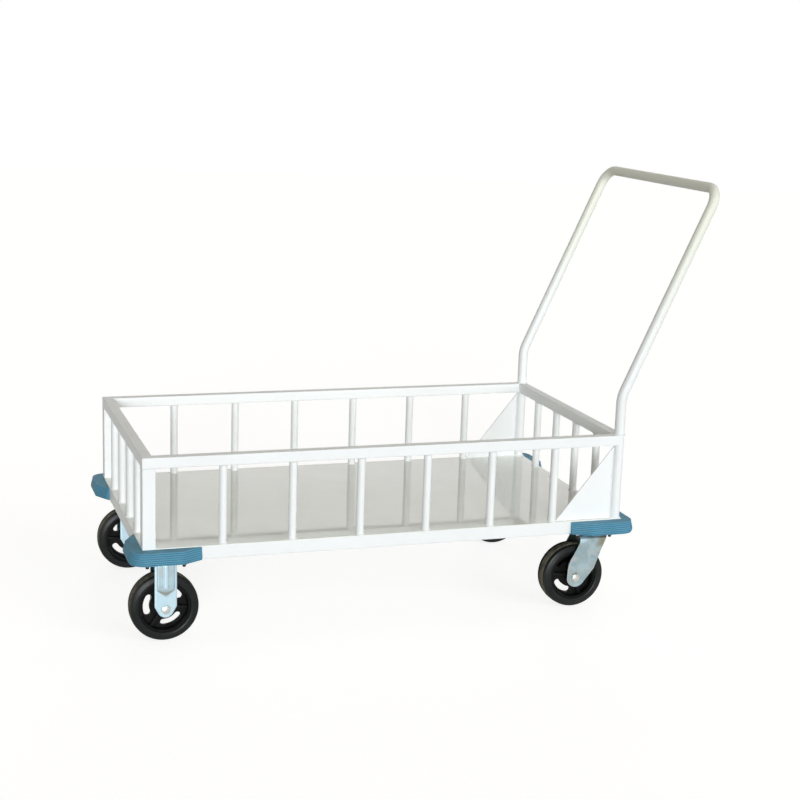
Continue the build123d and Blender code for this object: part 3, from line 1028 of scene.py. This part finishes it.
def raked_fork(side, pivot, axle, crown):
    """The turning half of a swivel caster: the fork and the cup of its race."""
    body = f"swivel_{side}"
    hub = Vector((axle.x, axle.z))
    rear_edge = [hub + Vector(point) * MM for point in FORK_REAR_EDGE]
    front_edge = [hub + Vector(point) * MM for point in FORK_FRONT_EDGE]
    centre = hub + Vector(FORK_FOOT_OFF) * MM
    edges_at = strap_edges(rear_edge, front_edge, centre, FORK_FOOT)

    def across(x, z):
        rear, front = edges_at(z)
        return (x - rear) / max(front - rear, SHEET)

    def painted_highlight(x, z):
        """Painted highlight, strongest at the front of the bend."""
        return 0.1 + 1.2 * ease((across(x, z) - 0.66) / 0.24) * ease((z - crown + 18 * MM) / (9 * MM))

    def drawn(x, z):
        """A darker olive patch below the bend, at the rear edge."""
        return 0.85 * ease((0.42 - across(x, z)) / 0.26) * ease((z - crown + 36 * MM) / (16 * MM))

    shape = bent_fork(pivot.y, centre.y - FORK_FOOT, crown, edges_at,
                      {"painted_highlight": painted_highlight, "drawn": drawn}, columns=34)
    hand_over(f"raked_fork_{side}", shape, ZINC, [f"swivel_fork_{side}"], body)
    cup = turned(race_profile(CUP_STEPS), Vector((pivot.x, pivot.y, crown)), UP, steps=72)
    hand_over(f"race_cup_{side}", cup, ZINC, body=body)


def make_swivel_caster(side):
    """The swivelling caster at one rear corner: plate and race, raked fork, axle."""
    pivot = middle(f"swivel_plate_{side}")
    axle = middle(f"tyre_rear_{side}")
    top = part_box(f"swivel_plate_{side}")[1].z
    underside = Vector((pivot.x, pivot.y, top - PLATE[2]))
    swivel_top(side, underside)
    raked_fork(side, pivot, axle, underside.z - RACE_HEIGHT)
    axle_bolt(f"axle_bolt_rear_{side}", f"swivel_{side}", axle, [f"axle_rear_{side}"])


# -------- wheels

def tyre_profile(radius):
    """Half of the tyre's section, from the hub to the middle of the tread: (radius, off middle)."""
    wall = [(0.0, 21.4), (1.0, 22.8), (2.6, 23.9), (4.6, 24.7), (6.6, 25.0), (7.6, 24.9),
            (8.1, 24.3), (9.5, 24.0)]
    shoulder = [(17.6, 21.6), (18.8, 20.9), (19.5, 19.7), (19.4, 18.4), (18.4, 17.2)]
    groove = [(17.0, 15.8), (16.6, 14.4), (17.0, 12.6), (18.6, 10.8)]
    rib = [(20.2, 9.6), (20.8, 8.6), (21.0, 7.4), (21.0, 0.5)]
    hub = radius - TYRE_WALL
    return [(hub + out * MM, off * MM) for out, off in wall + shoulder + groove + rib]


def make_tyre(place, body, centre, radius):
    """A tyre with a rounded middle rib, a groove on each side of it and stepped walls."""
    shape = turned(mirrored(tyre_profile(radius)), centre, ACROSS, steps=120)
    tread = shape.verts.layers.float.new("tread")
    for vert in shape.verts:
        vert[tread] = ease((TREAD_HALF - abs(vert.co.y - centre.y)) / TREAD_EDGE)
    hand_over(f"tyre_tread_{place}", shape, TYRE_RUBBER, [f"tyre_{place}"], body, 40)


def window_outline(middle_angle):
    """One kidney-shaped window: two arcs about the hub's centre joined by half circles."""
    mid_radius = (WINDOW_INNER + WINDOW_OUTER) / 2
    end_radius = (WINDOW_OUTER - WINDOW_INNER) / 2
    first, last = middle_angle - WINDOW_SWEEP / 2, middle_angle + WINDOW_SWEEP / 2
    hub = Vector((0, 0))
    first_end, last_end = (on_circle(hub, mid_radius, angle) for angle in (first, last))
    return [
        *arc_points(hub, WINDOW_OUTER, first, WINDOW_SWEEP, 16),
        *arc_points(last_end, end_radius, last, 180, 8)[1:-1],
        *arc_points(hub, WINDOW_INNER, last, -WINDOW_SWEEP, 16),
        *arc_points(first_end, end_radius, first + 180, 180, 8)[1:-1],
    ]


def full_circle(radius, steps):
    """Points round the hub's centre."""
    return arc_points(Vector((0, 0)), radius, 0, 360, steps)[:-1]


def hub_web(centre, hub_radius, phase):
    """The web between rim and boss, with its windows and a step round each opening."""
    loops = [full_circle(hub_radius - HUB_RIM / 2, 96), full_circle(BOSS_RADIUS - BOSS_OVERLAP, 48)]
    loops += [window_outline(phase + 360 / WINDOW_COUNT * number) for number in range(WINDOW_COUNT)]
    web = bmesh.new()
    edges = []
    for loop in loops:
        edges += closed_line(web, [centre + Vector((x, HUB_WEB_HALF, z)) for x, z in loop])[1]
    bmesh.ops.triangle_fill(web, edges=edges, use_beauty=True)
    bmesh.ops.recalc_face_normals(web, faces=web.faces)
    if next(iter(web.faces)).normal.y < 0:
        bmesh.ops.reverse_faces(web, faces=web.faces)
    bmesh.ops.solidify(web, geom=web.faces[:], thickness=2 * HUB_WEB_HALF)
    for way in (1, -1):
        cap = [face for face in web.faces if face.normal.y * way > 0.9]
        bmesh.ops.inset_region(web, faces=cap, thickness=HUB_WEB_STEP[0], depth=HUB_WEB_STEP[1],
                               use_even_offset=True, use_boundary=True)
    return web


def rim_profile(hub_radius):
    """The closed profile of the rim under the tyre."""
    lip = [(0.05, 0.8), (0.6, 0.0), (3.4, 0.0), (4.2, 0.8)]
    half = [(hub_radius - inwards * MM, back * MM - HUB_RIM_HALF) for inwards, back in lip]
    return mirrored(half + [(hub_radius - HUB_RIM - HUB_RIM_FILLET, 1 * MM - HUB_WEB_HALF)])


def boss_profile():
    """The closed profile of the stepped boss round the bore."""
    bore = AXLE_RADIUS + CLEARANCE
    return mirrored([
        (bore, -BOSS_HALF), (12.0 * MM, -BOSS_HALF), (12.6 * MM, 0.6 * MM - BOSS_HALF),
        (13.2 * MM, -BOSS_SHOULDER), (BOSS_RADIUS - 1 * MM, 1 * MM - BOSS_SHOULDER),
        (BOSS_RADIUS, 2 * MM - BOSS_SHOULDER), (BOSS_RADIUS + 0.6 * MM, -4 * MM),
    ])


def hub_rib(centre, hub_radius, angle):
    """A rib that stands across the web, from the boss to the rim."""
    turn = Matrix.Rotation(-math.radians(angle), 3, "Y")
    inner, outer = BOSS_RADIUS - BOSS_OVERLAP, hub_radius - HUB_RIM + 1 * MM
    side_on = mirrored([(inner, -RIB_TOP), (outer, RIB_FALL - RIB_TOP)])
    corners = [centre + turn @ Vector((out, off, -RIB_HALF)) for out, off in side_on]
    return prism(corners, turn @ Vector((0, 0, 2 * RIB_HALF)), edge=0.6 * MM)


def make_hub(place, body, centre, radius):
    """A moulded hub: web with windows, rim, boss and ribs."""
    hub_radius = radius - TYRE_WALL
    phase = WHEEL_PHASE[place]
    shape = bmesh.new()
    merge_in(shape, hub_web(centre, hub_radius, phase))
    merge_in(shape, turned(rim_profile(hub_radius), centre, ACROSS, steps=96))
    merge_in(shape, turned(boss_profile(), centre, ACROSS, steps=64))
    for number in range(WINDOW_COUNT):
        merge_in(shape, hub_rib(centre, hub_radius, phase + 360 / WINDOW_COUNT * (number + 0.5)))
    hand_over(f"moulded_hub_{place}", shape, HUB_PLASTIC, [f"hub_{place}"], body)


def make_wheel(end, side):
    """The tyre and the hub of one wheel."""
    place, body = f"{end}_{side}", f"{end}_wheel_{side}"
    centre = middle(f"tyre_{place}")
    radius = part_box(f"tyre_{place}")[1].z - centre.z
    make_tyre(place, body, centre, radius)
    make_hub(place, body, centre, radius)


# -------- studio

def seen_direct(tree):
    """1 where the camera, a mirror reflection or clear glass shows the background."""
    path = node(tree, "ShaderNodeLightPath").outputs
    return combined(tree, "MAXIMUM", path["Is Camera Ray"], path["Is Glossy Ray"],
                    path["Is Transmission Ray"])


def bare_tree(owner):
    """The empty node tree of a world or a material."""
    owner.use_nodes = True
    owner.node_tree.nodes.clear()
    return owner.node_tree


def make_world():
    """White to the eye, and a soft warm light on the trolley."""
    world = bpy.context.scene.world or bpy.data.worlds.new("studio")
    bpy.context.scene.world = world
    tree = bare_tree(world)
    soft = node(tree, "ShaderNodeBackground", {"Color": (1.0, 0.94, 0.80, 1.0), "Strength": 0.23})
    white = node(tree, "ShaderNodeBackground", {"Color": (1.0, 1.0, 1.0, 1.0)})
    mixed = node(tree, "ShaderNodeMixShader", {
        0: seen_direct(tree), 1: soft.outputs[0], 2: white.outputs[0],
    })
    node(tree, "ShaderNodeOutputWorld", {"Surface": mixed.outputs[0]})


def make_floor():
    """A plain pale floor that keeps the trolley's shadow."""
    shape = bmesh.new()
    bmesh.ops.create_circle(shape, cap_ends=True, segments=96, radius=14.0)
    floor = add_object("floor", as_mesh("floor", shape))
    material = bpy.data.materials.new("floor")
    tree = bare_tree(material)
    plain = node(tree, "ShaderNodeBsdfDiffuse", {"Color": (0.45, 0.45, 0.45, 1.0)})
    lift = between(tree, seen_direct(tree), 0.0, 0.80)
    glow = node(tree, "ShaderNodeEmission", {"Strength": lift})
    both = node(tree, "ShaderNodeAddShader", {0: plain.outputs[0], 1: glow.outputs[0]})
    node(tree, "ShaderNodeOutputMaterial", {"Surface": both.outputs[0]})
    floor.data.materials.append(material)


def make_lamp(name, towards, strength, softness, colour, glossy=True):
    """A wide soft lamp far away. towards points from the trolley to the lamp, and softness is the
    lamp's angle in degrees."""
    lamp = bpy.data.lights.new(name, "SUN")
    lamp.energy = strength
    lamp.angle = math.radians(softness)
    lamp.color = colour
    holder = add_object(name, lamp)
    holder.visible_glossy = glossy
    holder.rotation_mode = "QUATERNION"
    holder.rotation_quaternion = Vector(towards).to_track_quat("Z", "Y")


def make_camera():
    """The camera: a long lens from the front left, above the handle's height."""
    camera = bpy.data.cameras.new("camera")
    camera.sensor_width = 36.0
    camera.lens = 70.39
    camera.clip_start, camera.clip_end = 0.1, 100.0
    holder = add_object("camera", camera)
    heading, pitch, roll = (math.radians(angle) for angle in (18.636, -12.386, 1.935))
    turn = Matrix.Rotation(math.pi - heading, 4, "Z") @ Matrix.Rotation(math.pi / 2 + pitch, 4, "X")
    place = Matrix.Translation((1.2199, 3.6633, 1.3286))
    holder.matrix_world = place @ turn @ Matrix.Rotation(roll, 4, "Z")
    bpy.context.scene.camera = holder


make_world()
make_floor()
make_lamp("key lamp", (0.275, 1.0, 0.15), 2.05, 16, (0.935, 0.975, 1.0))
make_lamp("fill lamp", (-0.75, 1.0, 0.20), 1.5, 50, (0.97, 0.985, 1.0), glossy=False)
make_lamp("back lamp", (-0.3, -1.0, 0.06), 1.5, 40, (1.0, 0.95, 0.86), glossy=False)
make_lamp("edge lamp", (-0.2, -0.96, 0.30), 0.07, 50, (1.0, 1.0, 1.0))
make_camera()
bpy.context.scene.view_settings.view_transform = "Standard"

finish_cad_nodes()
dress_spindles()
for side in SIDES:
    weld_post(side)
    weld_leg(side)
    weld_gusset(side)
for end in ENDS:
    for side in SIDES:
        make_bumper(end, side)
        make_wheel(end, side)
for side in SIDES:
    make_fixed_caster(side)
    make_swivel_caster(side)
